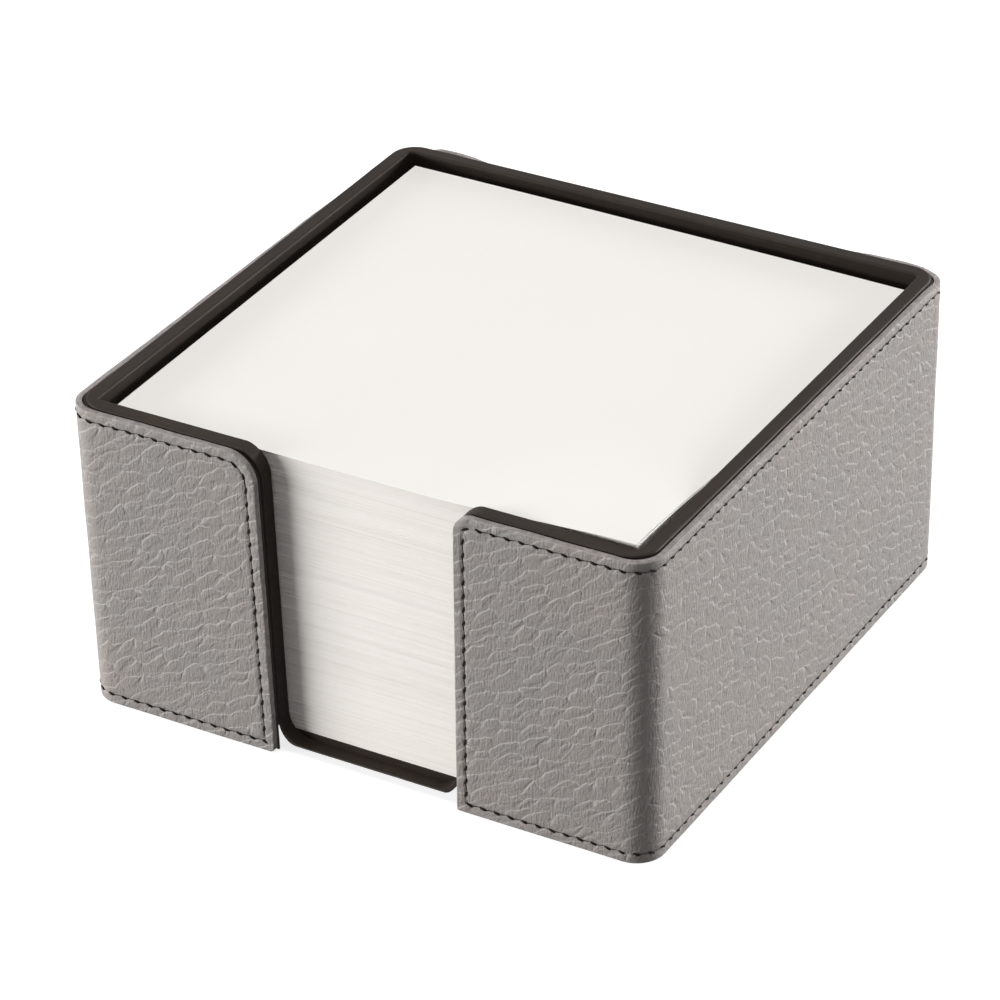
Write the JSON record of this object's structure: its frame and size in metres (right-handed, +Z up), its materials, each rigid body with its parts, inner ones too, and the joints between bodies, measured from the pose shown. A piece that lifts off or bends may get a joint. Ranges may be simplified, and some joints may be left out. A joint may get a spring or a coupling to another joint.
{
  "type": "memo box",
  "caption": "Square desk box that holds a stack of loose note paper, with a black tray, a stitched leather wrap and a finger notch at the front.",
  "frame": {"origin": "middle of the box's footprint, on the desk plane under the foot pads", "axes": "+Z up, -Y out through the finger notch, +X to the right of someone who faces the notch"},
  "size_m": [0.1, 0.1, 0.0528],
  "materials": {
    "tray_plastic": "satin black",
    "lining_fabric": "thin black backing",
    "grey_leather": "pebbled grain, mid grey",
    "seam_thread": "twisted dark grey thread",
    "foot_rubber": "matt black",
    "note_paper": "uncoated white"
  },
  "bodies": {
    "holder": {"inner_tray": "tray_plastic", "band_lining": "lining_fabric", "leather_band": "grey_leather", "seam_thread": "seam_thread", "foot_pad_front_left": "foot_rubber", "foot_pad_back_left": "foot_rubber", "foot_pad_front_right": "foot_rubber", "foot_pad_back_right": "foot_rubber"},
    "paper_refill": {"paper_packet_01": "note_paper", "paper_packet_02": "note_paper", "paper_packet_03": "note_paper", "paper_packet_04": "note_paper", "paper_packet_05": "note_paper", "paper_packet_06": "note_paper", "paper_packet_07": "note_paper", "paper_packet_08": "note_paper", "paper_packet_09": "note_paper", "paper_packet_10": "note_paper"},
    "top_sheet": {"top_sheet": "note_paper"}
  },
  "joints": [
    {"name": "refill_lift", "type": "slide", "parent": "holder", "child": "paper_refill", "axis": [0, 0, 1], "range_m": [0, 0.055]},
    {"name": "top_sheet_lift", "type": "slide", "parent": "paper_refill", "child": "top_sheet", "axis": [0, 0, 1], "range_m": [0, 0.04]}
  ]
}
